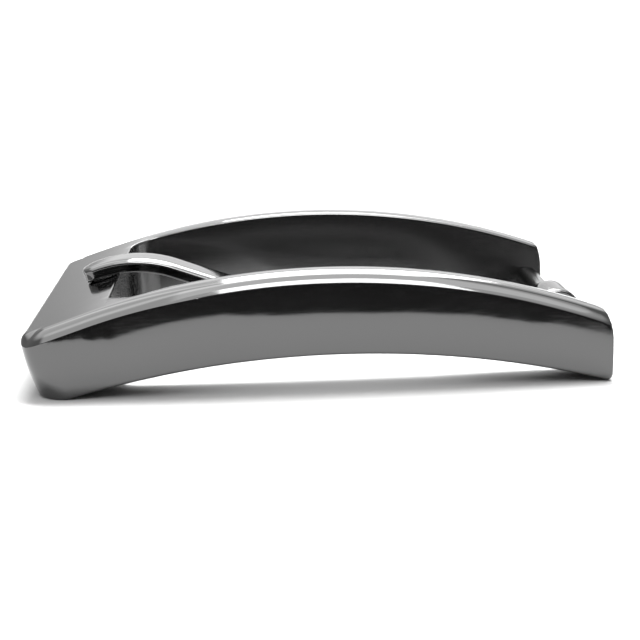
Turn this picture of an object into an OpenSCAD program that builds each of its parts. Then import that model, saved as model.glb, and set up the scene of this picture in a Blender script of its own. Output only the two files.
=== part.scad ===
// Arched prong buckle for a 40 mm belt, polished cast metal with a dark plate.
// A sloping front plate, two tall curved side rails and a low round strap bar
// are one casting. The prong turns on the bar and its tip rests on the plate.
//
// Frame: X runs along the buckle from the front plate to the strap bar, Y runs
// across it, Z is up. The origin is under the middle of the whole buckle, on
// the surface that the two ends stand on.

/* [Frame] */
// Length of the casting from the front end to the ends of the rails
frame_l = 71.3; // [60:0.1:85]
// Clear width between the rails, which is the width of the strap
strap_w = 40; // [30:0.5:45]
// Width of one side rail at its widest
rail_w = 5.4; // [4:0.1:8]
// Height of the crown of the arch above the surface
crown_z = 14.35; // [11:0.05:18]
// Radius of the arch along the top
crown_r = 97.5; // [80:1:140]
// Distance from the front end to the crown
crown_x = 36.9; // [30:0.1:42]
// Distance from the front end at which the flat front turns into the arch
flat_x = 7.2; // [6:0.1:20]
// Distance from the front end to the inner edge of the plate
plate_x = 10.4; // [7:0.1:14]
// Radius of the corners where the plate meets the rails
window_r = 4; // [2:0.5:8]

/* [Underside] */
// Height of the hollow of the arch above the surface
arch_z = 4.47; // [2:0.05:7]
// Radius of the arch along the bottom
arch_r = 122; // [90:1:160]
// Distance from the front end to the highest point of the bottom arch
arch_x = 38.25; // [30:0.1:42]

/* [Edges] */
// Radius of the outer top edge
edge_r = 1.95; // [0.8:0.05:2.5]
// Radius of the gentle bulge of the outer walls
wall_r = 20; // [12:1:40]
// Depth below the top at which the outer walls are widest
wall_d = 5; // [5:0.1:9]
// Radius of the two upright corners at the front, seen from above
corner_r = 4; // [3:0.1:10]
// Radius of the upper back corner of each rail, seen from the side
tail_r = 10; // [4:0.1:12]
// Height above which the back of each rail curves forward
tail_z = 5; // [2:0.1:6]
// Chamfer on the inner edge of the plate
plate_chamfer = 0.35; // [0:0.05:0.6]

/* [Strap bar] */
// Diameter of the round bar
bar_d = 3.2; // [2.5:0.1:4.5]
// Distance from the front end to the axis of the bar
bar_x = 69.2; // [60:0.1:72]
// Height of the axis of the bar above the surface
bar_z = 3.5; // [2.6:0.05:6]
// Radius of the small fillet where the bar grows out of each rail
bar_fillet = 0.5; // [0.2:0.1:1]

/* [Prong] */
// Width of the blade
prong_w = 6.8; // [5:0.1:9]
// Width of the blade at its tip
prong_tip_w = 5.8; // [4:0.1:8]
// Thickness of the blade
prong_t = 1.7; // [1.2:0.05:2.4]
// Outer diameter of the eye around the bar
eye_d = 6.1; // [5:0.1:7.5]
// Running clearance between the eye and the bar, on the radius
eye_gap = 0.08; // [0.03:0.01:0.1]
// Distance from the front end to the top of the hump near the tip
hump_x = 12.3; // [9:0.1:16]
// Height of the top of the hump
hump_z = 12.53; // [11:0.01:14]
// Radius along the top of the hump
hump_r = 16.5; // [12:0.5:30]
// Angle at which the blade climbs to the hump
climb_a = 19.8; // [12:0.1:28]
// Distance from the front end to the bend where the climb begins
bend_x = 32; // [26:0.5:45]
// Radius of that bend
bend_r = 14; // [8:0.5:25]
// Angle that the hump turns on past its top, down to the tip
tip_a = 25.2; // [12:0.1:30]

/* [Hidden] */
$fn = 192;
// Overlap that joins two stretches of the blade into one solid
lap = 0.05;

frame_w = strap_w + 2 * rail_w;
half_w = frame_w / 2;
overall_l = max(frame_l, bar_x + eye_d / 2);

// Slope of the flat front, tangent to the arch
flat_a = asin((crown_x - flat_x) / crown_r);
// Angle that the arch turns through behind the crown, past the ends of the rails
back_a = 25;

// Outline of an outer wall and its rounded top edge: distance in from the
// widest plane, height under the top face
depth = 12.5;
edge_s = sqrt(pow(wall_r - edge_r, 2) - pow(wall_d - edge_r, 2));
edge_a = atan2(wall_d - edge_r, edge_s);
wall_pts = [
    for (p = concat(
        arc_pts(wall_r, -wall_d, wall_r, 180 + asin((depth - wall_d) / wall_r), 180 - edge_a, 7),
        arc_pts(wall_r - edge_s, -edge_r, edge_r, 174 - edge_a, 90, 7)
    )) [to_thou(p[0]), to_thou(p[1])]
];

// Length of the flat front along its slope, so that the foremost point of its
// end wall lies at zero
front_u = (flat_x + min([for (p = wall_pts) p[0] * cos(flat_a) - p[1] * sin(flat_a)])) / cos(flat_a);

// The blade's centre line, from the bar to the tip
line_r = hump_r - prong_t / 2;
hump_c = [hump_x, hump_z - hump_r];
climb_end = [hump_c[0] + line_r * sin(climb_a), hump_c[1] + line_r * cos(climb_a)];
bend_pt = [bend_x, climb_end[1] - tan(climb_a) * (bend_x - climb_end[0])];
root_a = atan2(bend_pt[1] - bar_z, bar_x - bend_pt[0]);
bend_a = climb_a - root_a;
bend_t = bend_r * tan(bend_a / 2);
root_s = 2.3;
root_l = norm([bar_x - bend_pt[0], bend_pt[1] - bar_z]) - bend_t - root_s;
climb_l = norm(climb_end - bend_pt) - bend_t;
tip_pt = [hump_c[0] - line_r * sin(tip_a), hump_c[1] + line_r * cos(tip_a)];

// The blade's cross-section: width, height
blade_pts = let (w = prong_w / 2, t = prong_t / 2) [
    [-w + 0.25, -t], [w - 0.25, -t], [w, -t + 0.25], [w, t - 0.55],
    [w - 0.2, t - 0.2], [w - 0.65, t], [-w + 0.65, t], [-w + 0.2, t - 0.2],
    [-w, t - 0.55], [-w, -t + 0.25]
];

// A length to the nearest thousandth of a millimetre
function to_thou(v) = round(v * 1000) / 1000;

// Points along an arc about (cx, cy), n steps from angle a0 to angle a1
function arc_pts(cx, cy, r, a0, a1, n) =
    [for (i = [0:n]) let (a = a0 + (a1 - a0) * i / n) [cx + r * cos(a), cy + r * sin(a)]];

// Full-width cross-section of the casting, top face at height zero
module cross_section_2d() {
    polygon(concat(
        [for (p = wall_pts) [p[0] - half_w, p[1]]],
        [for (i = [len(wall_pts) - 1:-1:0]) [half_w - wall_pts[i][0], wall_pts[i][1]]]
    ));
}

// Frame of the arch: its centre at the origin, +Z up to where the front begins
module arch_frame() {
    translate([crown_x, 0, crown_z - crown_r])
        rotate([0, -flat_a, 0])
            children();
}

// The arched length, turned about the centre of the arch from the front on
module arched_length() {
    mirror([1, 0, 0])
        rotate([90, 0, 0])
            rotate([0, 0, 90])
                rotate_extrude(angle = flat_a + back_a, $fn = 360)
                    translate([crown_r, 0])
                        rotate(-90)
                            cross_section_2d();
}

// The flat front of the plate with its end wall and two rounded corners
module flat_front() {
    translate([0, 0, crown_r]) {
        translate([corner_r - front_u, 0, 0])
            rotate([90, 0, 90])
                linear_extrude(front_u - corner_r)
                    cross_section_2d();
        rotate([90, 0, 0])
            linear_extrude(frame_w - 2 * corner_r, center = true)
                polygon(concat(
                    [for (p = wall_pts) [p[0] - front_u, p[1]]],
                    [[corner_r - front_u, 0], [corner_r - front_u, -depth]]
                ));
        for (s = [-1, 1])
            translate([corner_r - front_u, s * (half_w - corner_r), 0])
                rotate([0, 0, s > 0 ? 90 : 180])
                    rotate_extrude(angle = 90, $fn = 64)
                        polygon(concat(
                            [for (p = wall_pts) [corner_r - p[0], p[1]]],
                            [[0, 0], [0, -depth]]
                        ));
    }
}

// Side view limits: the standing surface and the rounded backs of the rails
module side_limit() {
    foot_r = 0.4;
    rotate([90, 0, 0])
        linear_extrude(frame_w + 2, center = true)
            polygon(concat(
                [[-2, 0]],
                arc_pts(frame_l - foot_r, foot_r, foot_r, -90, 0, 4),
                arc_pts(frame_l - tail_r, tail_z, tail_r, 0, 78, 9),
                [[frame_l - tail_r + tail_r * cos(78), crown_z + 2], [-2, crown_z + 2]]
            ));
}

// Opening between the plate, the rails and the open back
module window() {
    translate([0, 0, -1])
        linear_extrude(crown_z + 3)
            polygon(concat(
                arc_pts(plate_x + window_r, strap_w / 2 - window_r, window_r, 90, 180, 10),
                arc_pts(plate_x + window_r, window_r - strap_w / 2, window_r, 180, 270, 10),
                [[frame_l + 2, -strap_w / 2], [frame_l + 2, strap_w / 2]]
            ));
    rim_a = asin((crown_x - plate_x) / crown_r);
    translate([plate_x, 0, crown_z - crown_r + crown_r * cos(rim_a)])
        rotate([0, 45 - rim_a, 0])
            cube([plate_chamfer * 1.41, strap_w - 2 * window_r, plate_chamfer * 1.41], center = true);
}

// Round strap bar with a small fillet at each rail
module strap_bar() {
    r = bar_d / 2;
    translate([bar_x, 0, bar_z])
        rotate([90, 0, 0]) {
            cylinder(h = strap_w + 2, r = r, center = true);
            for (s = [0, 180])
                rotate([s, 0, 0])
                    translate([0, 0, -strap_w / 2 - 0.5])
                        rotate_extrude($fn = 64)
                            polygon(concat(
                                [[0, 0], [r + bar_fillet, 0], [r + bar_fillet, 0.5]],
                                arc_pts(r + bar_fillet, 0.5 + bar_fillet, bar_fillet, 265, 180, 5),
                                [[0, 0.5 + bar_fillet]]
                            ));
        }
}

module place() {
    translate([-overall_l / 2, 0, 0])
        children();
}

// The casting: plate, rails and strap bar in one piece
module frame() {
    color("#77797c")
        place() {
            intersection() {
                difference() {
                    arch_frame() {
                        arched_length();
                        flat_front();
                    }
                    translate([arch_x, 0, arch_z - arch_r])
                        rotate([90, 0, 0])
                            cylinder(h = frame_w + 4, r = arch_r, center = true, $fn = 720);
                    window();
                }
                side_limit();
            }
            strap_bar();
        }
}

// One stretch of the blade that bends up by the angle a at the radius r
module bend_up(r, a) {
    translate([0, 0, r])
        rotate([90, 0, 0])
            rotate([0, 0, -90])
                rotate_extrude(angle = a, $fn = 240)
                    polygon([for (p = blade_pts) [r - p[1], p[0]]]);
}

// One stretch of the blade that bends down by the angle a at the radius r
module bend_down(r, a) {
    mirror([0, 0, 1])
        translate([0, 0, r])
            rotate([90, 0, 0])
                rotate([0, 0, -90])
                    rotate_extrude(angle = a, $fn = 240)
                        polygon([for (p = blade_pts) [r + p[1], p[0]]]);
}

// One straight stretch of the blade
module straight(l) {
    rotate([90, 0, 90])
        linear_extrude(l)
            polygon(blade_pts);
}

// The blade from the eye to the tip, in stretches that follow each other
module blade() {
    translate([bar_x, 0, bar_z])
        rotate([0, 0, 180])
            rotate([0, -root_a, 0])
                translate([root_s, 0, 0]) {
                    straight(root_l);
                    translate([root_l, 0, 0]) {
                        bend_up(bend_r, bend_a);
                        translate([bend_r * sin(bend_a), 0, bend_r * (1 - cos(bend_a))])
                            rotate([0, -bend_a, 0]) {
                                translate([-lap, 0, 0])
                                    straight(climb_l + lap);
                                translate([climb_l, 0, 0])
                                    bend_down(line_r, climb_a + tip_a);
                            }
                    }
                }
}

// Outline of the blade from above: a slight taper and a rounded tip
module blade_outline() {
    w = prong_w / 2 + 0.2;
    tw = prong_tip_w / 2;
    r = 1.6;
    x0 = tip_pt[0] - prong_t / 2 * sin(tip_a) - 0.1;
    linear_extrude(crown_z + 4)
        polygon(concat(
            [[bar_x - 1, -w], [bar_x - 1, w], [hump_x + 14, w]],
            arc_pts(x0 + r, tw - r, r, 95, 180, 7),
            arc_pts(x0 + r, r - tw, r, 180, 265, 7),
            [[hump_x + 14, -w]]
        ));
}

// The prong: an eye that turns on the bar, and the curved blade
module prong() {
    color("#9b9da0")
        place() {
            difference() {
                union() {
                    translate([bar_x, 0, bar_z])
                        rotate([90, 0, 0])
                            cylinder(h = prong_w, r = eye_d / 2, center = true);
                    intersection() {
                        blade();
                        blade_outline();
                    }
                }
                translate([bar_x, 0, bar_z])
                    rotate([90, 0, 0])
                        cylinder(h = prong_w + 2, r = bar_d / 2 + eye_gap, center = true);
            }
        }
}

frame();
prong();
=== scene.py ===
"""Dresses the prong belt buckle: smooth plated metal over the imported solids, in a plain pale studio."""

import logging
import math
from dataclasses import dataclass, field, replace
from enum import Enum
from typing import Callable, Sequence

import bmesh
import bpy
from mathutils import Matrix, Vector


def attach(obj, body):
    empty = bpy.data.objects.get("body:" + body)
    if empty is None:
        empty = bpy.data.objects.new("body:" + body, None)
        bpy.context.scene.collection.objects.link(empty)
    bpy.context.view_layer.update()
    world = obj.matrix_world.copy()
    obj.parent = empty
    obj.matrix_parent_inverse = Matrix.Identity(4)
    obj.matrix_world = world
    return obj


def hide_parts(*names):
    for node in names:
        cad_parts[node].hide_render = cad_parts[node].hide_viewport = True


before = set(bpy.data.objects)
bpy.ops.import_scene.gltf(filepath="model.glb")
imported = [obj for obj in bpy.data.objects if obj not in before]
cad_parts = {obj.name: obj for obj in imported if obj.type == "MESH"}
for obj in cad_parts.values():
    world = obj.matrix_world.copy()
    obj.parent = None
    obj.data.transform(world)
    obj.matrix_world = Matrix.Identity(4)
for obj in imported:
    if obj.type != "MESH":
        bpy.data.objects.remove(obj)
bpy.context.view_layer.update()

MM = 0.001
# Millimetres from the front end to the middle of the whole buckle, which is the origin
HALF_LENGTH = 36.125
# How often a search halves its range, which takes it to the last digit
HALVINGS = 48
log = logging.getLogger("buckle")

Point = tuple[float, float, float]
Flat = tuple[float, float]


class Body(Enum):
    """The rigid bodies that the pieces ride on."""

    FRAME = "frame_body"
    PRONG = "prong_body"


class Slot(Enum):
    """The material slots of the record."""

    FRAME = "frame_metal"
    PRONG = "prong_metal"


def linear(hex_colour: str) -> tuple[float, float, float, float]:
    """Turn an sRGB hex colour into linear light.

    Args:
        hex_colour: Six hex digits, with or without a leading hash.

    Returns:
        Linear red, green, blue and an alpha of one.
    """
    digits = hex_colour.lstrip("#")
    values = [int(digits[i:i + 2], 16) / 255 for i in (0, 2, 4)]
    light = [v / 12.92 if v <= 0.04045 else ((v + 0.055) / 1.055) ** 2.4 for v in values]
    return (light[0], light[1], light[2], 1.0)


def add_node(tree: bpy.types.NodeTree, kind: str, settings: dict | None = None,
             inputs: dict | None = None) -> bpy.types.Node:
    """Add one node with its settings and links.

    Args:
        tree: The node tree that takes the node.
        kind: The node's type name.
        settings: Properties by name.
        inputs: By the input socket's name or number, the socket to link to it or its value.

    Returns:
        The new node.
    """
    node = tree.nodes.new(kind)
    for key, value in (settings or {}).items():
        setattr(node, key, value)
    for key, value in (inputs or {}).items():
        if isinstance(value, bpy.types.NodeSocket):
            tree.links.new(value, node.inputs[key])
        else:
            node.inputs[key].default_value = value
    return node


def add_object(name: str, data: bpy.types.ID) -> bpy.types.Object:
    """Make an object and put it in the scene.

    Args:
        name: The object's name.
        data: Its mesh, light or camera.

    Returns:
        The new object.
    """
    made = bpy.data.objects.new(name, data)
    bpy.context.scene.collection.objects.link(made)
    return made


def keep_result(piece: bpy.types.Object) -> None:
    """Make what a piece's modifiers give its own mesh, and remove the modifiers.

    Args:
        piece: The object to change.
    """
    shape = bpy.context.evaluated_depsgraph_get()
    shape.update()
    result = bpy.data.meshes.new_from_object(piece.evaluated_get(shape))
    piece.modifiers.clear()
    old = piece.data
    piece.data = result
    bpy.data.meshes.remove(old)


def lerp(a: float, b: float, t: float) -> float:
    """Return the value at the share t of the way from a to b."""
    return a + (b - a) * t


def lerp_flat(a: Flat, b: Flat, t: float) -> Flat:
    """Return the pair at the share t of the way from a to b."""
    return lerp(a[0], b[0], t), lerp(a[1], b[1], t)


def smooth(t: float) -> float:
    """Return t clamped to 0 and 1 and eased at both ends."""
    t = min(max(t, 0.0), 1.0)
    return t * t * (3 - 2 * t)


def solve(function: Callable[[float], float], low: float, high: float) -> float:
    """Find where a function changes sign.

    Args:
        function: A function with one change of sign between low and high.
        low: The lower end of the search.
        high: The upper end of the search.

    Returns:
        The argument at which the function is zero.
    """
    below = function(low) < 0
    for _ in range(HALVINGS):
        middle = (low + high) / 2
        if (function(middle) < 0) == below:
            low = middle
        else:
            high = middle
    return (low + high) / 2


def place(x: float, y: float, z: float) -> Point:
    """Move a point from the front end's frame to the shared frame, both in millimetres."""
    return x - HALF_LENGTH, y, z


def direction(elevation: float, azimuth: float) -> Vector:
    """Return the way to a light, from degrees above the horizon and degrees from +X towards +Y."""
    high, way = math.radians(elevation), math.radians(azimuth)
    return Vector((math.cos(high) * math.cos(way), math.cos(high) * math.sin(way), math.sin(high)))


@dataclass(frozen=True)
class GunmetalPlate:
    """Black nickel plate, buffed to a polish, over a zinc casting.

    It is a dark neutral mirror. Buffing leaves a faint waviness that bends the
    reflections and hairline marks along the buckle, and the casting has rare pinholes.
    The wheel doesn't reach between the rails, so the walls there are duller.
    """

    name: str
    colour: str = "#626262"
    roughness: float = 0.08
    wave_mm: float = 4.5
    wave_height_mm: float = 0.009
    # Real buffing lines are too fine for the render, so they are drawn as coarse as they need to show
    hairline_mm: float = 0.16
    hairline_height_mm: float = 0.00022
    hairline_stretch: float = 0.06
    # The pattern's values from line to line, and the shares of the roughness that they stand for
    hairline_range: Flat = (0.35, 0.65)
    hairline_rub: Flat = (0.8, 1.25)
    pit_spacing_mm: float = 8.0
    pit_mm: float = 0.16
    pit_depth_mm: float = 0.05
    dull_extra: float = 0.0
    dull_half_width_mm: float = 20.04
    dull_from_x_mm: float = -25.8

    def material(self) -> bpy.types.Material:
        """Build the finish.

        Returns:
            A material whose pattern follows Object coordinates in metres.
        """
        material = bpy.data.materials.new(self.name)
        material.use_nodes = True
        tree = material.node_tree
        tree.nodes.clear()
        spot = add_node(tree, "ShaderNodeTexCoord").outputs["Object"]
        wave = add_node(tree, "ShaderNodeTexNoise", inputs={
            "Vector": spot, "Scale": 1 / (self.wave_mm * MM), "Detail": 2.5, "Roughness": 0.4})
        stretch = add_node(tree, "ShaderNodeMapping", inputs={
            "Vector": spot, "Scale": (self.hairline_stretch, 1.0, 1.0)})
        hairline = add_node(tree, "ShaderNodeTexNoise", inputs={
            "Vector": stretch.outputs["Vector"], "Scale": 1 / (self.hairline_mm * MM),
            "Detail": 3.0, "Roughness": 0.6}).outputs["Fac"]
        cells = add_node(tree, "ShaderNodeTexVoronoi", inputs={
            "Vector": spot, "Scale": 1 / (self.pit_spacing_mm * MM), "Randomness": 1.0})
        pit = add_node(tree, "ShaderNodeMapRange", {"interpolation_type": "SMOOTHSTEP"}, {
            "Value": cells.outputs["Distance"], "From Min": 0.0,
            "From Max": self.pit_mm / self.pit_spacing_mm, "To Min": -1.0, "To Max": 0.0})
        reliefs = ((self.wave_height_mm, wave.outputs["Fac"]), (self.hairline_height_mm, hairline),
                   (self.pit_depth_mm, pit.outputs["Result"]))
        relief = None
        for height_mm, pattern in reliefs:
            under = {"Normal": relief} if relief else {}
            relief = add_node(tree, "ShaderNodeBump", inputs={
                "Strength": 1.0, "Distance": height_mm * MM, "Height": pattern, **under}).outputs["Normal"]
        rub = add_node(tree, "ShaderNodeMapRange", inputs={
            "Value": hairline, "From Min": self.hairline_range[0], "From Max": self.hairline_range[1],
            "To Min": self.roughness * self.hairline_rub[0],
            "To Max": self.roughness * self.hairline_rub[1]})
        part = add_node(tree, "ShaderNodeSeparateXYZ", inputs={"Vector": spot})
        across = add_node(tree, "ShaderNodeMath", {"operation": "ABSOLUTE"}, {0: part.outputs["Y"]})
        between = add_node(tree, "ShaderNodeMath", {"operation": "LESS_THAN"},
                           {0: across.outputs[0], 1: self.dull_half_width_mm * MM})
        behind = add_node(tree, "ShaderNodeMath", {"operation": "GREATER_THAN"},
                          {0: part.outputs["X"], 1: self.dull_from_x_mm * MM})
        inside = add_node(tree, "ShaderNodeMath", {"operation": "MULTIPLY"},
                          {0: between.outputs[0], 1: behind.outputs[0]})
        dull = add_node(tree, "ShaderNodeMath", {"operation": "MULTIPLY_ADD"},
                        {0: inside.outputs[0], 1: self.dull_extra, 2: rub.outputs["Result"]})
        shader = add_node(tree, "ShaderNodeBsdfPrincipled", inputs={
            "Base Color": linear(self.colour), "Metallic": 1.0, "Roughness": dull.outputs[0],
            "Normal": relief})
        add_node(tree, "ShaderNodeOutputMaterial", inputs={"Surface": shader.outputs["BSDF"]})
        return material


@dataclass(frozen=True)
class PaperFloor:
    """Matt white background paper, which gives a bright floor with soft shadows."""

    name: str = "white_paper"
    colour: str = "#a8a8a8"
    roughness: float = 0.95

    def material(self) -> bpy.types.Material:
        """Build the finish.

        Returns:
            A plain matt material.
        """
        material = bpy.data.materials.new(self.name)
        material.use_nodes = True
        sockets = material.node_tree.nodes["Principled BSDF"].inputs
        sockets["Base Color"].default_value = linear(self.colour)
        sockets["Roughness"].default_value = self.roughness
        sockets["Specular IOR Level"].default_value = 0.0
        return material


class MeshPatches:
    """Collects grids of points in millimetres and welds them into one mesh."""

    def __init__(self) -> None:
        """Start with no geometry."""
        self.mesh = bmesh.new()

    def grid(self, rows: Sequence[Sequence[Point]], wrap: bool = False) -> None:
        """Add a grid of faces.

        Args:
            rows: Rows of points, all of one length.
            wrap: Whether the last point of each row joins its first.
        """
        points = [[self.mesh.verts.new(Vector(p) * MM) for p in row] for row in rows]
        columns = len(points[0])
        for row, following in zip(points, points[1:]):
            for j in range(columns if wrap else columns - 1):
                beside = (j + 1) % columns
                self.mesh.faces.new((row[j], row[beside], following[beside], following[j]))

    def finish(self, name: str, material: bpy.types.Material, weld_mm: float) -> bpy.types.Object:
        """Weld the patches and turn them into an object.

        Args:
            name: The object's name.
            material: The material of every face.
            weld_mm: Points nearer than this become one.

        Returns:
            The new object, at the origin, with its place in its mesh.
        """
        bmesh.ops.remove_doubles(self.mesh, verts=self.mesh.verts, dist=weld_mm * MM)
        bmesh.ops.dissolve_degenerate(self.mesh, edges=self.mesh.edges, dist=weld_mm * MM * 0.5)
        bmesh.ops.recalc_face_normals(self.mesh, faces=self.mesh.faces)
        data = bpy.data.meshes.new(name)
        self.mesh.to_mesh(data)
        self.mesh.free()
        data.materials.append(material)
        data.shade_smooth()
        return add_object(name, data)


def round_edges(piece: bpy.types.Object, width_mm: float, angle_deg: float) -> None:
    """Round a piece's sharp edges and even out its normals, and keep the result as its mesh.

    Args:
        piece: The object to round.
        width_mm: The width of the rounding on each side of an edge.
        angle_deg: Edges that turn by more than this are rounded.
    """
    bevel = piece.modifiers.new("rounding", "BEVEL")
    bevel.width = width_mm * MM
    bevel.segments = 4
    bevel.limit_method = "ANGLE"
    bevel.angle_limit = math.radians(angle_deg)
    bevel.use_clamp_overlap = False
    normals = piece.modifiers.new("normals", "WEIGHTED_NORMAL")
    normals.weight = 50
    normals.keep_sharp = False
    keep_result(piece)


@dataclass
class Casting:
    """The one-piece casting: front plate and two arched side rails.

    Lengths are in millimetres and angles in degrees. X starts at the front end, Y is
    across and Z is up. Each edge holds its width and its drop.
    """

    length: float = 71.3
    strap_width: float = 40.0
    rail_width: float = 5.4
    crown_height: float = 14.35
    crown_radius: float = 97.5
    crown_x: float = 36.9
    flat_x: float = 7.2
    plate_x: float = 10.4
    window_radius: float = 4.0
    arch_height: float = 4.47
    arch_radius: float = 122.0
    arch_x: float = 38.25
    edge_end: Flat = (1.15, 0.85)
    edge_corner: Flat = (3.2, 1.3)
    edge_front: Flat = (2.7, 1.2)
    edge_rail: Flat = (1.85, 1.27)
    edge_change: Flat = (12.0, 24.0)
    edge_roll: Flat = (0.75, 0.06)
    crown: Flat = (2.2, 0.14)
    crease: float = 0.05
    crease_lip: Flat = (0.05, 0.1)
    wall_radius: float = 20.0
    wall_foot_radius: float = 45.0
    wall_lean: float = 7.8
    end_widest: float = 4.6
    # X and the depth at which the hand-polished wall is widest there
    wall_widest: tuple[Flat, ...] = (
        (4, 3.8), (5, 4.1), (7, 4.6), (9, 5.4), (11, 5.95), (18, 5.8), (24, 6.0), (28, 6.6),
        (32, 7.0), (42, 7.1), (49, 6.75), (57, 6.3), (61, 6.1), (65, 5.5), (69, 5.3))
    corner_radius: float = 4.0
    tail_radius: float = 10.0
    tail_height: float = 5.0
    tail_foot_radius: float = 0.9
    tail_zone: float = 5.0
    # The inner wall's angle at the top and lower down. Towards the back the second nears the first
    inner_draft: Flat = (8.5, 3.5)
    inner_draft_depth: float = 5.0
    inner_draft_back: Flat = (48.0, 60.0)
    inner_draft_keep: float = 0.9
    rounding: float = 0.25
    rounding_angle: float = 50.0
    # How far round the window the inner side has come where the bend and the front corner end
    window_shares: Flat = (0.5, 0.8)
    # How far the even rows of the outer and the inner wall stay off their edges
    foot_margin: float = 0.45
    inner_margins: Flat = (0.6, 0.5)
    # Where to look for the depth of a wall's foot, and for the back's place along the top
    depth_range: Flat = (3.0, 13.5)
    tail_range: Flat = (30.0, 75.0)
    step: float = 0.8
    tail_steps: int = 5
    bend_steps: int = 20
    corner_steps: int = 20
    end_steps: int = 16
    roll_steps: int = 4
    edge_steps: int = 14
    wall_steps: int = 14
    top_steps: int = 7
    weld: float = 0.002
    finish: GunmetalPlate = field(
        default_factory=lambda: GunmetalPlate("gunmetal_plated_casting", dull_extra=0.11))

    def __post_init__(self) -> None:
        """Work out the derived sizes and the number of faces across the top."""
        self.half_width = self.strap_width / 2 + self.rail_width
        self.slope = math.asin((self.crown_x - self.flat_x) / self.crown_radius)
        self.flat_end_z = (self.crown_height - self.crown_radius
                           + self.crown_radius * math.cos(self.slope))
        foremost = min(inset * math.cos(self.slope) + depth * math.sin(self.slope)
                       for inset, depth in self.edge_points(0.0, 1.0))
        self.front_u = (self.flat_x + foremost) / math.cos(self.slope)
        self.top_columns = self.roll_steps + self.edge_steps + 2 + self.top_steps + 1

    def spine(self, s: float, depth: float) -> Flat:
        """Give a point of the side view from the distance along the top and the depth below it.

        Args:
            s: Distance along the top from the end of the flat front, negative on the flat.
            depth: Distance below the top, square to it.

        Returns:
            The point's X and Z.
        """
        if s < 0:
            angle = self.slope
            x = self.flat_x + s * math.cos(angle)
            z = self.flat_end_z + s * math.sin(angle)
        else:
            angle = self.slope - s / self.crown_radius
            x = self.crown_x - self.crown_radius * math.sin(angle)
            z = self.crown_height - self.crown_radius + self.crown_radius * math.cos(angle)
        return x + depth * math.sin(angle), z - depth * math.cos(angle)

    def along_top(self, x: float) -> float:
        """Return the distance along the top at X, for an X on the arch."""
        return self.crown_radius * (self.slope - math.asin((self.crown_x - x) / self.crown_radius))

    def top_height(self, x: float) -> float:
        """Give the height of the top face.

        Args:
            x: Distance from the front end.

        Returns:
            Its Z.
        """
        if x < self.flat_x:
            return self.flat_end_z - (self.flat_x - x) * math.tan(self.slope)
        return (self.crown_height - self.crown_radius
                + math.sqrt(self.crown_radius ** 2 - (x - self.crown_x) ** 2))

    def floor_line(self, x: float) -> float:
        """Return the height of the underside at X."""
        rise = self.arch_radius ** 2 - (x - self.arch_x) ** 2
        return max(0.0, self.arch_height - self.arch_radius + math.sqrt(rise))

    def widest_depth(self, x: float, turned: float) -> float:
        """Give the depth below the top at which the hand-polished outer wall is widest.

        Args:
            x: Distance from the front end.
            turned: The share of the way round the front corner, 0 on a rail and 1 on the end wall.

        Returns:
            The depth, square to the top.
        """
        table = self.wall_widest
        depth = table[0][1] if x <= table[0][0] else table[-1][1]
        for (x0, d0), (x1, d1) in zip(table, table[1:]):
            if x0 < x <= x1:
                depth = lerp(d0, d1, smooth((x - x0) / (x1 - x0)))
        return lerp(depth, self.end_widest, smooth(turned))

    def wall_inset(self, x: float, turned: float, depth: float) -> float:
        """Give how far the outer wall stands in from its widest plane.

        Args:
            x: Distance from the front end.
            turned: The share of the way round the front corner.
            depth: Distance below the top.

        Returns:
            The inset.
        """
        away = depth - self.widest_depth(x, turned)
        if away > 0:
            return self.wall_foot_radius - math.sqrt(self.wall_foot_radius ** 2 - away ** 2)
        lean = math.radians(self.wall_lean)
        curved = min(-away, self.wall_radius * math.sin(lean))
        return (self.wall_radius - math.sqrt(self.wall_radius ** 2 - curved ** 2)
                + (-away - curved) * math.tan(lean))

    def inner_inset(self, x: float, depth: float) -> float:
        """Give how far the drafted inner wall of a rail stands out into the window.

        Args:
            x: Distance from the front end.
            depth: Distance below the top.

        Returns:
            The inset.
        """
        steep, slight = (math.tan(math.radians(a)) for a in self.inner_draft)
        low, high = self.inner_draft_back
        slight = lerp(slight, steep, self.inner_draft_keep * smooth((x - low) / (high - low)))
        share = min(depth / self.inner_draft_depth, 1.0)
        return slight * depth + (steep - slight) * self.inner_draft_depth * (share - share * share / 2)

    def crown_drop(self, away: float) -> float:
        """Return how far the crowned top of a rail has dropped at a distance from its inner edge."""
        width, drop = self.crown
        return drop * max(1 - away / width, 0.0) ** 2

    def edge_size(self, x: float, turned: float) -> Flat:
        """Give the width and the drop of the outer top edge.

        Args:
            x: Distance from the front end.
            turned: The share of the way round the front corner.

        Returns:
            The width and the drop.
        """
        if turned <= 0:
            low, high = self.edge_change
            return lerp_flat(self.edge_front, self.edge_rail, smooth((x - low) / (high - low)))
        if turned < 0.5:
            return lerp_flat(self.edge_front, self.edge_corner, smooth(turned * 2))
        return lerp_flat(self.edge_corner, self.edge_end, smooth(turned * 2 - 1))

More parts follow.
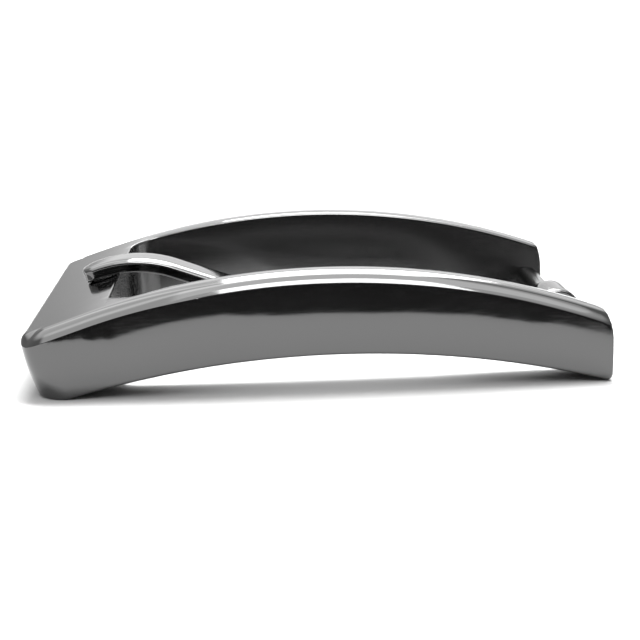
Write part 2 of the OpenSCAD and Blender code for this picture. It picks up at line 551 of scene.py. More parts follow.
    def edge_points(self, x: float, turned: float) -> list[Flat]:
        """Give the rounded outer top edge, down to the small crease where the wall begins.

        Args:
            x: Distance from the front end.
            turned: The share of the way round the front corner.

        Returns:
            The inset and the depth of each point, from the top face down to the wall.
        """
        width, drop = self.edge_size(x, turned)
        turn = 2 * math.atan2(drop, width)
        radius = width / math.sin(turn)
        low, high = self.edge_change
        share = smooth((x - low) / (high - low))
        reach, roll = self.edge_roll[0] * share, self.edge_roll[1] * share
        drop += roll
        wall = self.wall_inset(x, turned, drop)
        points = []
        for i in range(self.roll_steps):
            t = i / self.roll_steps
            points.append((wall + width + reach * (1 - t), roll * t ** 2))
        for i in range(self.edge_steps + 1):
            angle = turn * i / self.edge_steps
            points.append((wall + width - radius * math.sin(angle), roll + radius * (1 - math.cos(angle))))
        points[-1] = (points[-1][0] + self.crease * math.cos(turn), drop - self.crease * math.sin(turn))
        inward, upward = self.crease_lip
        points.append((wall + self.crease * inward, drop - self.crease * upward))
        points.append((self.wall_inset(x, turned, drop + self.crease), drop + self.crease))
        return points

    def tail_x(self, z: float) -> float:
        """Give the rounded back of a rail.

        Args:
            z: A height.

        Returns:
            The X of the back there.
        """
        rise = max(z - self.tail_height, 0.0)
        back = math.sqrt(max(self.tail_radius ** 2 - rise ** 2, 0.0))
        dip = min(max(self.tail_foot_radius - z, 0.0), self.tail_foot_radius)
        foot = self.tail_foot_radius - math.sqrt(self.tail_foot_radius ** 2 - dip ** 2)
        return self.length - self.tail_radius + back - foot

    def tail_s(self, depth: float) -> float:
        """Give the distance along the top at which the rounded back of a rail cuts a depth.

        Args:
            depth: Distance below the top.

        Returns:
            The distance from the end of the flat front.
        """

        def past(s: float) -> float:
            """Return how far a point of this depth lies past the back."""
            x, z = self.spine(s, depth)
            return x - self.tail_x(z)

        return solve(past, *self.tail_range)

    def stations(self) -> list["Station"]:
        """List the places at which the section is drawn.

        Returns:
            The stations from one rail's back round to the other's.
        """
        front_s = self.corner_radius - self.front_u
        zone_s = self.tail_s(0) - self.tail_zone
        window_s = self.along_top(self.plate_x + self.window_radius)
        bend_share, corner_share = self.window_shares
        near = Station(self, -1)
        tail = [replace(near, share=i / self.tail_steps) for i in range(self.tail_steps)]
        count = round((zone_s - window_s) / self.step)
        rail = [replace(near, s=lerp(zone_s, window_s, i / count)) for i in range(count + 1)]
        bend = [replace(near, s=lerp(window_s, front_s, i / self.bend_steps),
                        window=i / self.bend_steps * bend_share)
                for i in range(1, self.bend_steps + 1)]
        corner = [replace(near, s=front_s, corner=math.pi / 2 * i / self.corner_steps,
                          window=lerp(bend_share, corner_share, i / self.corner_steps))
                  for i in range(1, self.corner_steps + 1)]
        reach = self.half_width - self.corner_radius
        end = [replace(near, s=-self.front_u, across=reach * (1 - i / self.end_steps), window=1.0)
               for i in range(1, self.end_steps + 1)]
        half = tail + rail + bend + corner + end
        return half + [replace(station, side=1) for station in reversed(half[:-1])]

    def build(self) -> bpy.types.Object:
        """Build the casting's mesh.

        Returns:
            The casting, without its strap bar, as one object.
        """
        patches = MeshPatches()
        patches.grid([station.ring() for station in self.stations()], wrap=True)
        for side in (-1, 1):
            patches.grid(self.tail_cap(side))
        piece = patches.finish("buckle_casting", self.finish.material(), self.weld)
        round_edges(piece, self.rounding, self.rounding_angle)
        return piece

    def tail_cap(self, side: int) -> list[list[Point]]:
        """Give the rounded back of one rail, as an even patch between the sides of its section.

        Args:
            side: -1 on the near side, 1 on the far side.

        Returns:
            Rows of points from the top down, each from its outer to its inner side.
        """
        ring = Station(self, side, share=0.0).ring()
        last, columns = self.wall_steps, self.top_columns
        top = ring[last:last + columns + 1]
        outer = ring[last::-1]
        inner = ring[last + columns:2 * last + columns + 1]
        foot = [ring[0]] + ring[:2 * last + columns - 1:-1]
        rows = [top]
        for i in range(1, last):
            v = i / last
            row = [outer[i]]
            for j in range(1, columns):
                u = j / columns
                y, z = (lerp(top[j][k], foot[j][k], v) + lerp(outer[i][k], inner[i][k], u)
                        - lerp(lerp(top[0][k], top[-1][k], u), lerp(foot[0][k], foot[-1][k], u), v)
                        for k in (1, 2))
                row.append(place(self.tail_x(z), y, z))
            rows.append(row + [inner[i]])
        return rows + [foot]


@dataclass
class Station:
    """One section through the casting, at a place on the way round from back to back.

    Args:
        casting: The casting whose sizes it takes.
        side: -1 on the near side, 1 on the far side.
        s: Distance along the top from the end of the flat front.
        share: In the last stretch of a rail, the share of the way in from its rounded back.
        corner: The angle turned round the upright front corner.
        across: Distance from the middle on the front wall.
        window: The share of the way round the window's corner and half of the plate's edge.
    """

    casting: Casting
    side: int
    s: float | None = None
    share: float | None = None
    corner: float | None = None
    across: float | None = None
    window: float | None = None

    def along(self, depth: float) -> float:
        """Give the distance along the top of this station's line.

        Args:
            depth: Distance below the top.

        Returns:
            The distance from the end of the flat front.
        """
        if self.share is None:
            return self.s
        zone_s = self.casting.tail_s(0) - self.casting.tail_zone
        return lerp(self.casting.tail_s(depth), zone_s, self.share)

    def outer(self, inset: float, depth: float) -> Point:
        """Give a point of the outer side.

        Args:
            inset: Distance in from the widest plane.
            depth: Distance below the top.

        Returns:
            X, Y and Z, with X from the front end.
        """
        shape = self.casting
        s = self.along(depth)
        y = shape.half_width - inset
        if self.corner is not None:
            radius = shape.corner_radius - inset
            s = shape.corner_radius - shape.front_u - radius * math.sin(self.corner)
            y = shape.half_width - shape.corner_radius + radius * math.cos(self.corner)
        elif self.across is not None:
            s = inset - shape.front_u
            y = self.across
        x, z = shape.spine(s, depth)
        return x, self.side * y, z

    def here(self) -> float:
        """Return this station's distance from the front end, which sets the shape of its outer side."""
        beside = self.corner is None and self.across is None
        return self.casting.spine(self.along(0.0), 0.0)[0] if beside else 0.0

    def turned(self) -> float:
        """Return the share of the way round the front corner, 0 on a rail and 1 on the end wall."""
        corner = self.corner or 0.0
        return 1.0 if self.across is not None else corner / (math.pi / 2)

    def foot_depth(self, side_point: Callable[[float], Sequence[float]]) -> float:
        """Find where one side of the section meets the underside.

        Args:
            side_point: Gives the side's point at a depth, with X first and Z last.

        Returns:
            The depth of the meeting.
        """

        def above(depth: float) -> float:
            """Return how far the side's point lies above the underside."""
            point = side_point(depth)
            return point[-1] - self.casting.floor_line(point[0])

        return solve(above, *self.casting.depth_range)

    def outer_column(self) -> list[Flat]:
        """List the outer side's points.

        Returns:
            The inset and the depth of each, from the top face down.
        """
        shape = self.casting
        here, turned = self.here(), self.turned()
        column = shape.edge_points(here, turned)
        start = column[-1][1]
        end = self.foot_depth(lambda depth: self.outer(shape.wall_inset(here, turned, depth), depth))
        for i in range(1, shape.wall_steps):
            depth = lerp(start, end - shape.foot_margin, i / (shape.wall_steps - 1))
            column.append((shape.wall_inset(here, turned, depth), depth))
        column.append((shape.wall_inset(here, turned, end), end))
        return column

    def inner_depths(self, bottom: float) -> list[float]:
        """List the depths of the inner side's points, as many as the outer wall has.

        Args:
            bottom: The depth of its foot.

        Returns:
            The depths, from the top down.
        """
        shape = self.casting
        first, above_foot = shape.inner_margins
        last = shape.wall_steps - 2
        middle = [lerp(first, bottom - above_foot, i / last) for i in range(last + 1)]
        return [self.rim_drop()] + middle + [bottom]

    def rim_drop(self) -> float:
        """Return how far below the top the inner edge lies, from the crown of the rail."""
        share = 0.0 if self.window is None else min(self.window / self.casting.window_shares[0], 1.0)
        return lerp(self.casting.crown_drop(0.0), 0.0, smooth(share))

    def window_point(self, inset: float) -> Flat:
        """Give the window's wall at this station.

        Args:
            inset: How far the wall stands out into the window from the window's edge.

        Returns:
            X and the distance from the middle.
        """
        shape = self.casting
        half, radius = shape.strap_width / 2, shape.window_radius
        if self.across is not None:
            return shape.plate_x, (half - radius) * self.across / (shape.half_width - shape.corner_radius)
        turn = min(self.window / shape.window_shares[1], 1.0) * math.pi / 2
        near = inset * math.cos(turn)
        x = shape.plate_x + radius * (1 - math.sin(turn)) + near * math.sin(turn)
        y = half - radius * (1 - math.cos(turn)) - near * math.cos(turn)
        return x, y

    def inner_wall(self) -> list[Point]:
        """Give the inner side, on a rail or round the window's end.

        Returns:
            Its points from the top down, with X from the front end.
        """
        shape = self.casting
        wall = []
        if self.window is None:
            for depth in self.inner_depths(self.foot_depth(lambda d: shape.spine(self.along(d), d))):
                x, z = shape.spine(self.along(depth), depth)
                wall.append((x, self.side * (shape.strap_width / 2 - shape.inner_inset(x, depth)), z))
            return wall
        edge_x = self.window_point(0.0)[0]
        top = shape.top_height(edge_x)
        for depth in self.inner_depths(top - shape.floor_line(edge_x)):
            x, y = self.window_point(shape.inner_inset(0.0, depth))
            wall.append((x, self.side * y, top - depth))
        return wall

    def ring(self) -> list[Point]:
        """Give the closed section.

        Returns:
            Its points from the outer side's foot up, across the top and down the inner side.
        """
        shape = self.casting
        outer = [self.outer(inset, depth) for inset, depth in reversed(self.outer_column())]
        inner = self.inner_wall()
        top_row = []
        for x, y, _ in self.between(outer[-1], inner[0], shape.top_steps):
            away = math.dist((x, y), inner[0][:2])
            drop = self.rim_drop() * shape.crown_drop(away) / shape.crown_drop(0.0)
            top_row.append((x, y, shape.top_height(x) - drop))
        foot_row = [(x, y, shape.floor_line(x))
                    for x, y, _ in self.between(inner[-1], outer[0], shape.top_columns - 1)]
        return [place(*p) for p in outer + top_row + inner + foot_row]

    def between(self, start: Point, end: Point, count: int) -> list[Point]:
        """Give points strictly between two points, evenly spread, on the top face or the underside."""
        return [tuple(lerp(a, b, i / (count + 1)) for a, b in zip(start, end)) for i in range(1, count + 1)]


@dataclass
class StrapBar:
    """The round bar between the rails, flared by a small fillet at each end, in millimetres."""

    diameter: float = 3.2
    x: float = 69.2
    z: float = 3.5
    fillet: float = 0.5
    overlap: float = 0.4
    points_along: int = 409
    points_round: int = 64

    def flare_steps(self) -> tuple[tuple[str, str, str | float, str | float], ...]:
        """List the sums that turn a place along the bar into its radius.

        Returns:
            For each, the result's name, the operation and its two terms, as names or numbers.
        """
        return (("half span", "MULTIPLY", "Span", 0.5),
                ("half length", "ADD", "half span", "Overlap"),
                ("minus half length", "MULTIPLY", "half length", -1.0),
                ("from middle", "ABSOLUTE", "y", 0.0),
                ("from rail", "SUBTRACT", "half span", "from middle"),
                ("within fillet", "MINIMUM", "from rail", "Fillet"),
                ("gap", "MAXIMUM", "within fillet", 0.0),
                ("rest", "SUBTRACT", "Fillet", "gap"),
                ("fillet squared", "MULTIPLY", "Fillet", "Fillet"),
                ("rest squared", "MULTIPLY", "rest", "rest"),
                ("difference", "SUBTRACT", "fillet squared", "rest squared"),
                ("not below", "MAXIMUM", "difference", 0.0),
                ("chord", "SQRT", "not below", 0.0),
                ("flare", "SUBTRACT", "Fillet", "chord"),
                ("radius here", "ADD", "Radius", "flare"))

    def tree(self, span: float) -> bpy.types.NodeTree:
        """Build the node tree of the bar.

        Args:
            span: The clear width between the rails.

        Returns:
            The tree, with its sizes as named inputs.
        """
        sizes = {"Span": span * MM, "Radius": self.diameter / 2 * MM, "Fillet": self.fillet * MM,
                 "Overlap": self.overlap * MM, "X": (self.x - HALF_LENGTH) * MM, "Z": self.z * MM}
        tree = bpy.data.node_groups.new("strap_bar", "GeometryNodeTree")
        for name, value in sizes.items():
            socket = tree.interface.new_socket(name, in_out="INPUT", socket_type="NodeSocketFloat")
            socket.default_value = value
        tree.interface.new_socket("Material", in_out="INPUT", socket_type="NodeSocketMaterial")
        tree.interface.new_socket("Geometry", in_out="OUTPUT", socket_type="NodeSocketGeometry")
        given = add_node(tree, "NodeGroupInput").outputs
        position = add_node(tree, "GeometryNodeInputPosition").outputs[0]
        part = add_node(tree, "ShaderNodeSeparateXYZ", inputs={0: position})
        known = {name: given[name] for name in sizes}
        known["y"] = part.outputs["Y"]
        for name, operation, first, second in self.flare_steps():
            terms = {0: known.get(first, first), 1: known.get(second, second)}
            known[name] = add_node(tree, "ShaderNodeMath", {"operation": operation}, terms).outputs[0]
        ends = [add_node(tree, "ShaderNodeCombineXYZ",
                         inputs={"X": given["X"], "Y": known[y], "Z": given["Z"]}).outputs[0]
                for y in ("minus half length", "half length")]
        line = add_node(tree, "GeometryNodeCurvePrimitiveLine", inputs={"Start": ends[0], "End": ends[1]})
        points = add_node(tree, "GeometryNodeResampleCurve",
                          inputs={"Curve": line.outputs[0], "Count": self.points_along})
        ring = add_node(tree, "GeometryNodeCurvePrimitiveCircle",
                        inputs={"Resolution": self.points_round, "Radius": 1.0})
        tube = add_node(tree, "GeometryNodeCurveToMesh", inputs={
            "Curve": points.outputs[0], "Profile Curve": ring.outputs[0], "Scale": known["radius here"],
            "Fill Caps": True})
        real = add_node(tree, "GeometryNodeRealizeInstances", inputs={"Geometry": tube.outputs[0]})
        dressed = add_node(tree, "GeometryNodeSetMaterial",
                           inputs={"Geometry": real.outputs[0], "Material": given["Material"]})
        add_node(tree, "NodeGroupOutput", inputs={0: dressed.outputs[0]})
        return tree

    def build(self, span: float, material: bpy.types.Material) -> bpy.types.Object:
        """Build the bar with geometry nodes.

        Args:
            span: The clear width between the rails.
            material: The material of the bar.

        Returns:
            The bar as a plain mesh object.
        """
        tree = self.tree(span)
        piece = add_object("strap_bar", bpy.data.meshes.new("strap_bar"))
        modifier = piece.modifiers.new("strap_bar", "NODES")
        modifier.node_group = tree
        for item in tree.interface.items_tree:
            if item.in_out == "INPUT" and item.name == "Material":
                modifier[item.identifier] = material
        keep_result(piece)
        piece.data.shade_smooth()
        return piece


@dataclass(frozen=True)
class Rim:
    """One point of the prong's side view, with the rounding of the blade's long edges there."""

    x: float
    z: float
    out_x: float
    out_z: float
    round_y: float
    round_d: float


@dataclass
class Prong:
    """The prong: a closed eye round the bar, a straight root, a bend, a hump and a square-cut tip.

    Lengths are in millimetres, angles in degrees. Each rounding holds its width and its drop.
    """

    width: float = 6.8
    tip_width: float = 5.8
    taper_past_hump: float = 14.0
    thickness: float = 1.7
    eye_diameter: float = 6.1
    bore_diameter: float = 3.36
    bore_chamfer: float = 0.15
    eye_x: float = 69.2
    eye_z: float = 3.5
    hump_x: float = 12.3
    hump_z: float = 12.53
    hump_radius: float = 16.5
    climb: float = 19.8
    bend_x: float = 32.0
    bend_radius: float = 14.0
    tip_angle: float = 25.2
    tip_corner: Flat = (1.3, 1.15)
    tip_round: float = 0.3
    root_fillet: float = 1.2
    top_round: Flat = (1.5, 0.45)
    foot_round: Flat = (0.25, 0.25)
    eye_round: Flat = (0.35, 0.35)
    hump_steps: int = 60
    climb_steps: int = 12
    bend_steps: int = 20
    root_steps: int = 30
    eye_steps: int = 64
    fillet_steps: int = 8
    round_steps: int = 6
    side_columns: int = 6
    weld: float = 0.001
    finish: GunmetalPlate = field(default_factory=lambda: GunmetalPlate("gunmetal_plated_prong"))

    def __post_init__(self) -> None:
        """Work out the centre line, and how many points the foot face and the eye have."""
        self.line_radius = self.hump_radius - self.thickness / 2
        self.tip_turn = math.radians(self.tip_angle) - self.tip_round / self.line_radius
        self.hump_centre = (self.hump_x, self.hump_z - self.hump_radius)
        self.rise = math.radians(self.climb)
        self.climb_end = (self.hump_x + self.line_radius * math.sin(self.rise),
                          self.hump_centre[1] + self.line_radius * math.cos(self.rise))
        self.bend_z = self.climb_end[1] - math.tan(self.rise) * (self.bend_x - self.climb_end[0])
        self.root = math.atan2(self.bend_z - self.eye_z, self.eye_x - self.bend_x)
        self.bend_tangent = self.bend_radius * math.tan((self.rise - self.root) / 2)
        self.foot_count = self.hump_steps + 1 + self.climb_steps + self.bend_steps + self.root_steps
        self.eye_count = self.eye_steps + 1 + 2 * (self.fillet_steps - 1)

    def arc(self, centre: Flat, radius: float, first: float, last: float,
            steps: int) -> list[tuple[Flat, Flat]]:
        """List the points of an arc of the centre line.

        Args:
            centre: The arc's centre.
            radius: Its radius, negative where the blade is hollow.
            first: The lean of its first normal, from upright towards the back.
            last: The lean of its last normal.
            steps: The number of steps between them.

        Returns:
            Its points and upward normals.
        """
        leans = [lerp(first, last, i / steps) for i in range(steps + 1)]
        normals = [(math.sin(lean), math.cos(lean)) for lean in leans]
        return [((centre[0] + radius * nx, centre[1] + radius * nz), (nx, nz)) for nx, nz in normals]

    def straight(self, start: Flat, end: Flat, lean: float, steps: int) -> list[tuple[Flat, Flat]]:
        """List the points and normals of a straight stretch of the centre line, without its start."""
        normal = (math.sin(lean), math.cos(lean))
        return [(lerp_flat(start, end, i / steps), normal) for i in range(1, steps + 1)]

    def centre_line(self) -> list[tuple[Flat, Flat]]:
        """List the blade's centre line.

        Returns:
            Its points and upward normals, from the tip to the eye.
        """
        rise, root = self.rise, self.root
        line = self.arc(self.hump_centre, self.line_radius, -self.tip_turn, rise, self.hump_steps)
        start = (self.bend_x - self.bend_tangent * math.cos(rise),
                 self.bend_z + self.bend_tangent * math.sin(rise))
        line += self.straight(self.climb_end, start, rise, self.climb_steps)
        centre = (start[0] + self.bend_radius * math.sin(rise), start[1] + self.bend_radius * math.cos(rise))
        line += self.arc(centre, -self.bend_radius, rise, root, self.bend_steps)[1:]
        reach = self.fillet_reach()
        end = (self.eye_x - reach * math.cos(root), self.eye_z + reach * math.sin(root))
        return line + self.straight(line[-1][0], end, root, self.root_steps)

    def fillet_reach(self) -> float:
        """Return the distance from the eye's centre at which the root's fillets leave the blade."""
        far = self.eye_diameter / 2 + self.root_fillet
        return math.sqrt(far ** 2 - (self.thickness / 2 + self.root_fillet) ** 2)

    def half_width(self, x: float) -> float:
        """Give half of the blade's width, with the taper and the cut-off tip corners.

        Args:
            x: Distance from the casting's front end.

        Returns:
            Half of the width there.
        """
        past = max(x - self.tip_x(), 0.0)
        share = min(past / (self.hump_x + self.taper_past_hump - self.tip_x()), 1.0)
        half = lerp(self.tip_width, self.width, share) / 2
        return half - self.tip_corner[1] * max(1 - past / self.tip_corner[0], 0.0)

    def tip_x(self) -> float:
        """Return the X of the foremost edge of the tip."""
        tip = math.radians(self.tip_angle)
        return self.hump_x - self.line_radius * math.sin(tip) - self.thickness / 2 * math.sin(tip)

    def tip_points(self) -> list[tuple[Flat, Flat]]:
        """List the square-cut end of the blade, with rounded edges.

        Returns:
            Its points and outward directions, from the foot face up to the top face.
        """
        (x, z), (nx, nz) = self.centre_line()[0]
        ahead = (-nz, nx)
        reach = self.thickness / 2 - self.tip_round
        points = []
        for side, start in ((-1, 0.0), (1, math.pi / 2)):
            for i in range(1, self.round_steps):
                angle = start + math.pi / 2 * i / self.round_steps
                out = (ahead[0] * math.sin(angle) - nx * math.cos(angle),
                       ahead[1] * math.sin(angle) - nz * math.cos(angle))
                points.append(((x + side * reach * nx + self.tip_round * out[0],
                                z + side * reach * nz + self.tip_round * out[1]), out))
            if side < 0:
                points.append(((x + self.tip_round * ahead[0], z + self.tip_round * ahead[1]), ahead))
        return points

    def from_eye(self, along: float, rise: float) -> Flat:
        """Turn a distance ahead of the eye and above the centre line into X and Z."""
        sine, cosine = math.sin(self.root), math.cos(self.root)
        return self.eye_x - along * cosine + rise * sine, self.eye_z + along * sine + rise * cosine

    def fillet(self, side: int, spread: float) -> list[tuple[Flat, Flat, float]]:
        """List one fillet between the root and the eye, without its ends.

        Args:
            side: -1 below the blade, 1 above it.
            spread: The angle at the eye's centre between the blade and the fillet's centre.

        Returns:
            Its points, outward directions and shares of the way to the eye.
        """
        reach, lift = self.fillet_reach(), self.thickness / 2 + self.root_fillet
        centre = self.from_eye(reach, side * lift)
        points = []
        for i in range(1, self.fillet_steps):
            share = i / self.fillet_steps
            angle = lerp(math.pi / 2, spread, share)
            spot = self.from_eye(reach - self.root_fillet * math.cos(angle),
                                 side * (lift - self.root_fillet * math.sin(angle)))
            size = math.dist(spot, centre)
            points.append((spot, ((centre[0] - spot[0]) / size, (centre[1] - spot[1]) / size), share))
        return points

    def eye_points(self) -> list[tuple[Flat, Flat, float]]:
        """List the root's lower fillet, the eye and the upper fillet.

        Returns:
            Their points, outward directions and shares of the way to the eye.
        """
        spread = math.atan2(self.thickness / 2 + self.root_fillet, self.fillet_reach())
        radius = self.eye_diameter / 2
        eye = []
        for i in range(self.eye_steps + 1):
            angle = lerp(-spread, spread - 2 * math.pi, i / self.eye_steps)
            spot = self.from_eye(radius * math.cos(angle), radius * math.sin(angle))
            eye.append((spot, ((spot[0] - self.eye_x) / radius, (spot[1] - self.eye_z) / radius), 1.0))
        return self.fillet(-1, spread) + eye + self.fillet(1, spread)[::-1]

    def outline(self) -> list[Rim]:
        """Give the closed side view.

        Returns:
            Its points from the blade's foot at the tip, round the eye, back over the top and down the tip.
        """
        line = self.centre_line()
        half = self.thickness / 2
        foot = [Rim(x - half * nx, z - half * nz, -nx, -nz, *self.foot_round) for (x, z), (nx, nz) in line]
        top = [Rim(x + half * nx, z + half * nz, nx, nz, *self.top_round)
               for (x, z), (nx, nz) in reversed(line)]
        eye = []
        for index, (spot, out, share) in enumerate(self.eye_points()):
            side = self.foot_round if index < self.eye_count / 2 else self.top_round
            eye.append(Rim(*spot, *out, *lerp_flat(side, self.eye_round, smooth(share))))
        ends = self.tip_points()
        tip = []
        for index, (spot, out) in enumerate(reversed(ends)):
            share = smooth((index + 1) / (len(ends) + 1))
            tip.append(Rim(*spot, *out, *lerp_flat(self.top_round, self.foot_round, share)))
        return foot + eye + top + tip

    def rim_row(self, rim: Rim) -> list[Point]:
        """Give the points across the blade at one point of the outline.

        Args:
            rim: The point of the outline.

        Returns:
            The points from one side to the other.
        """
        half = self.half_width(rim.x)
        row = []
        for i in range(self.round_steps + 1):
            angle = math.pi / 2 * (1 - i / self.round_steps)
            depth = rim.round_d * (1 - math.cos(angle))
            row.append((rim.x - depth * rim.out_x, rim.round_y * (1 - math.sin(angle)) - half,
                        rim.z - depth * rim.out_z))
        middle = [(rim.x, (half - rim.round_y) * t, rim.z) for t in (-0.5, 0.0, 0.5)]
        return row + middle + [(x, -y, z) for x, y, z in reversed(row)]

    def build(self) -> bpy.types.Object:
        """Build the prong's mesh.

        Returns:
            The prong as one object.
        """
        rows = [self.rim_row(rim) for rim in self.outline()]
        patches = MeshPatches()
        patches.grid([[place(*p) for p in row] for row in rows + rows[:1]])
        for side in (0, -1):
            self.side_face(patches, [row[side] for row in rows])
        self.bore(patches, [row[0] for row in rows])
        return patches.finish("buckle_prong", self.finish.material(), self.weld)

    def eye_loop(self, edge: list[Point]) -> list[Point]:
        """Give the closed edge of the eye's flat side.

        Args:
            edge: The outline's points on that side.

        Returns:
            The points from the root's foot round the eye, and across the blade back to the foot.
        """
        foot, top = edge[self.foot_count - 1], edge[self.foot_count + self.eye_count]
        across = [tuple(lerp(a, b, j / self.side_columns) for a, b in zip(foot, top))
                  for j in range(self.side_columns, -1, -1)]
        return edge[self.foot_count - 1:self.foot_count + self.eye_count] + across

    def side_face(self, patches: MeshPatches, edge: list[Point]) -> None:
        """Add one flat side of the prong, with the hole for the bar.

        Args:
            patches: Takes the faces.
            edge: The outline's points on that side.
        """
        foot = edge[:self.foot_count]
        top = edge[self.foot_count + self.eye_count:2 * self.foot_count + self.eye_count][::-1]
        tip = edge[2 * self.foot_count + self.eye_count:]
        middle = len(tip) // 2
        pairs = list(zip(tip[middle:], reversed(tip[:middle + 1]))) + list(zip(foot, top))
        patches.grid([[place(*(lerp(a, b, j / self.side_columns) for a, b in zip(low, high)))
                       for j in range(self.side_columns + 1)] for low, high in pairs])
        loop = self.eye_loop(edge)
        patches.grid([[place(*self.towards_bore(p, share, self.bore_chamfer)) for p in loop]
                      for share in (0.0, 0.5, 1.0)])

    def towards_bore(self, spot: Point, share: float, chamfer: float) -> Point:
        """Move a point of a side face towards the bar's hole.

        Args:
            spot: The point on the side face.
            share: 0 leaves it, 1 puts it on the hole's edge.
            chamfer: How much wider than the bore that edge is.

        Returns:
            The moved point.
        """
        x, y, z = spot
        dx, dz = x - self.eye_x, z - self.eye_z
        stretch = (self.bore_diameter / 2 + chamfer) / math.hypot(dx, dz)
        return lerp(x, self.eye_x + dx * stretch, share), y, lerp(z, self.eye_z + dz * stretch, share)

    def bore(self, patches: MeshPatches, edge: list[Point]) -> None:
        """Add the wall of the hole for the bar, with its chamfered mouths.

        Args:
            patches: Takes the faces.
            edge: The outline's points on one side.
        """
        loop = self.eye_loop(edge)
        half, chamfer = self.width / 2, self.bore_chamfer
        mouths = ((-half, chamfer), (chamfer - half, 0.0), (half - chamfer, 0.0), (half, chamfer))
        patches.grid([[place(*self.towards_bore((x, y, z), 1.0, wider)) for x, _, z in loop]
                      for y, wider in mouths])


@dataclass(frozen=True)
class Panel:
    """One soft rectangular light that faces the buckle, in metres and degrees.

    Its radiance is the brightness of its face, where 1 is white.
    """

    name: str
    elevation: float
    azimuth: float
    size: Flat
    radiance: float
    lights_floor: bool
    shows_in_metal: bool

    def build(self, distance: float) -> None:
        """Add the light.

        Args:
            distance: How far from the origin it stands.
        """
        data = bpy.data.lights.new(self.name, "AREA")
        data.shape = "RECTANGLE"
        data.size, data.size_y = self.size
        data.energy = self.radiance * math.pi * self.size[0] * self.size[1]
        away = direction(self.elevation, self.azimuth)
        side = Vector((0, 0, 1)).cross(away).normalized()
        turn = Matrix((side, away.cross(side), away)).transposed()
        light = add_object(self.name, data)
        light.matrix_world = Matrix.Translation(away * distance) @ turn.to_4x4()
        light.visible_camera = False
        light.visible_diffuse = self.lights_floor
        light.visible_glossy = self.shows_in_metal


@dataclass(frozen=True)
class Lobe:
    """One soft round patch of the surroundings, in degrees.

    It is full within one angle from its middle and nothing past the other.
    """

    azimuth: float
    elevation: float
    full_within: float
    nothing_past: float

    def level(self, tree: bpy.types.NodeTree) -> bpy.types.NodeSocket:
        """Add the patch to the surroundings.

        Args:
            tree: The surroundings' node tree.

        Returns:
            A value that is 1 inside the patch and 0 outside it.
        """
        way = add_node(tree, "ShaderNodeTexCoord").outputs["Generated"]
        near = add_node(tree, "ShaderNodeVectorMath", {"operation": "DOT_PRODUCT"},
                        {0: way, 1: direction(self.elevation, self.azimuth)})
        return add_node(tree, "ShaderNodeMapRange", {"interpolation_type": "SMOOTHSTEP"}, {
            "Value": near.outputs["Value"], "From Min": math.cos(math.radians(self.nothing_past)),
            "From Max": math.cos(math.radians(self.full_within))}).outputs["Result"]


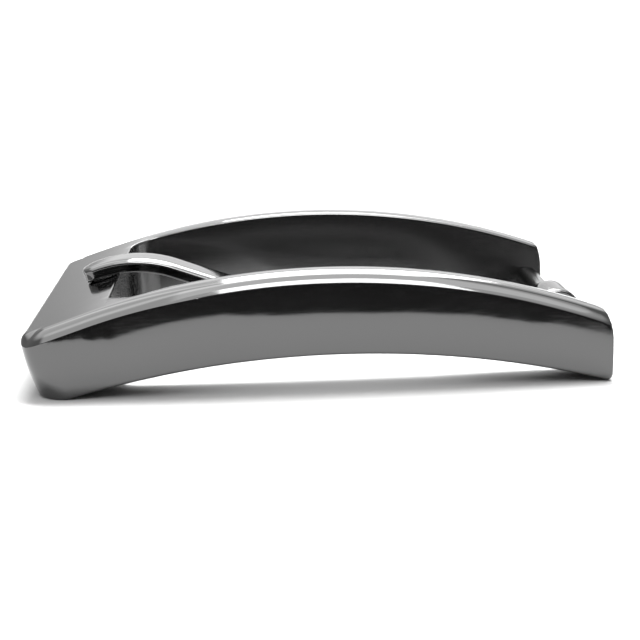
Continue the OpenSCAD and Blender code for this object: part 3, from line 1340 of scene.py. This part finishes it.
@dataclass
class Studio:
    """The pale floor, the soft lights, the surroundings and the camera, in metres and degrees."""

    camera_at: Point = (-0.006662, -0.18985, 0.048495)
    yaw: float = 2.285
    pitch: float = 13.542
    roll: float = -1.47
    focal_pixels: float = 1428.7
    picture_pixels: float = 640.0
    sensor_mm: float = 36.0
    clip: Flat = (0.005, 200.0)
    floor_size: float = 80.0
    light_distance: float = 6.0
    panels: tuple[Panel, ...] = (
        Panel("floor_light", 73, 64, (4.4, 1.5), 44, lights_floor=True, shows_in_metal=False),
        Panel("back_softbox", 45, 84, (2.6, 5.6), 7.5, lights_floor=True, shows_in_metal=True),
        Panel("front_reflector", 54, -83.7, (2.7, 3.0), 8.5, lights_floor=False, shows_in_metal=True),
        Panel("top_reflector", 81, 0, (6.4, 6.1), 1.2, lights_floor=False, shows_in_metal=True))
    low_light: float = 0.55
    high_light: float = 2.2
    left_glow: float = 1.85
    back_glow: float = 0.92
    room_dark: float = 0.88
    overhead: Lobe = Lobe(-100, 72, 34, 50)
    left: Lobe = Lobe(125, 50, 16, 30)
    back: Lobe = Lobe(85, 30, 24, 31)
    front: Lobe = Lobe(-87, 3, 36, 43)

    def camera(self) -> None:
        """Add the camera at the photograph's viewing angle."""
        yaw, pitch, roll = (math.radians(a) for a in (self.yaw, self.pitch, self.roll))
        ahead = Vector((math.sin(yaw) * math.cos(pitch), math.cos(yaw) * math.cos(pitch), -math.sin(pitch)))
        right = Vector((math.cos(yaw), -math.sin(yaw), 0.0))
        up = right.cross(ahead)
        right_rolled = right * math.cos(roll) + up * math.sin(roll)
        up_rolled = up * math.cos(roll) - right * math.sin(roll)
        data = bpy.data.cameras.new("camera")
        data.sensor_width = self.sensor_mm
        data.lens = self.focal_pixels / self.picture_pixels * self.sensor_mm
        data.clip_start, data.clip_end = self.clip
        camera = add_object("camera", data)
        turn = Matrix((right_rolled, up_rolled, -ahead)).transposed()
        camera.matrix_world = Matrix.Translation(self.camera_at) @ turn.to_4x4()
        bpy.context.scene.camera = camera

    def floor(self) -> None:
        """Add the floor that the buckle stands on."""
        mesh = bpy.data.meshes.new("floor")
        half = self.floor_size / 2
        mesh.from_pydata([(-half, -half, 0), (half, -half, 0), (half, half, 0), (-half, half, 0)], [],
                         [(0, 1, 2, 3)])
        mesh.materials.append(PaperFloor().material())
        floor = add_object("floor", mesh)

    def surroundings(self) -> None:
        """Add the room's light: pale all round, a bright glow behind the buckle, a dark room in front."""
        world = bpy.data.worlds.new("room")
        world.use_nodes = True
        tree = world.node_tree
        tree.nodes.clear()
        level = self.low_light
        for lobe, strength in ((self.overhead, self.high_light - self.low_light),
                               (self.left, self.left_glow), (self.back, self.back_glow)):
            level = add_node(tree, "ShaderNodeMath", {"operation": "MULTIPLY_ADD"},
                             {0: lobe.level(tree), 1: strength, 2: level}).outputs[0]
        shade = add_node(tree, "ShaderNodeMath", {"operation": "MULTIPLY_ADD"},
                         {0: self.front.level(tree), 1: -self.room_dark, 2: 1.0})
        shaded = add_node(tree, "ShaderNodeMath", {"operation": "MULTIPLY"}, {0: level, 1: shade.outputs[0]})
        light = add_node(tree, "ShaderNodeBackground",
                         inputs={"Color": (1, 1, 1, 1), "Strength": shaded.outputs[0]})
        add_node(tree, "ShaderNodeOutputWorld", inputs={"Surface": light.outputs[0]})
        bpy.context.scene.world = world

    def build(self) -> None:
        """Build the whole studio."""
        self.camera()
        self.floor()
        for panel in self.panels:
            panel.build(self.light_distance)
        self.surroundings()
        bpy.context.scene.view_settings.view_transform = "Standard"


def join(main_piece: bpy.types.Object, other: bpy.types.Object) -> None:
    """Add another object's mesh to a piece's and remove that object.

    Args:
        main_piece: The piece that takes the mesh.
        other: The object to add.
    """
    whole = bmesh.new()
    whole.from_mesh(main_piece.data)
    whole.from_mesh(other.data)
    whole.to_mesh(main_piece.data)
    whole.free()
    bpy.data.objects.remove(other)


def main() -> None:
    """Build the studio and the buckle's two pieces, and report each."""
    logging.basicConfig(level=logging.INFO, format="%(message)s")
    Studio().build()
    casting_maker = Casting()
    casting = casting_maker.build()
    join(casting, StrapBar().build(casting_maker.strap_width, casting.data.materials[0]))
    prong = Prong().build()
    for piece, node, body, slot in ((casting, "frame", Body.FRAME, Slot.FRAME),
                                    (prong, "prong", Body.PRONG, Slot.PRONG)):
        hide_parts(node)
        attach(piece, body.value)
        log.info("%s: %d vertices, %d faces", piece.name, len(piece.data.vertices), len(piece.data.polygons))


if __name__ == "__main__":
    main()
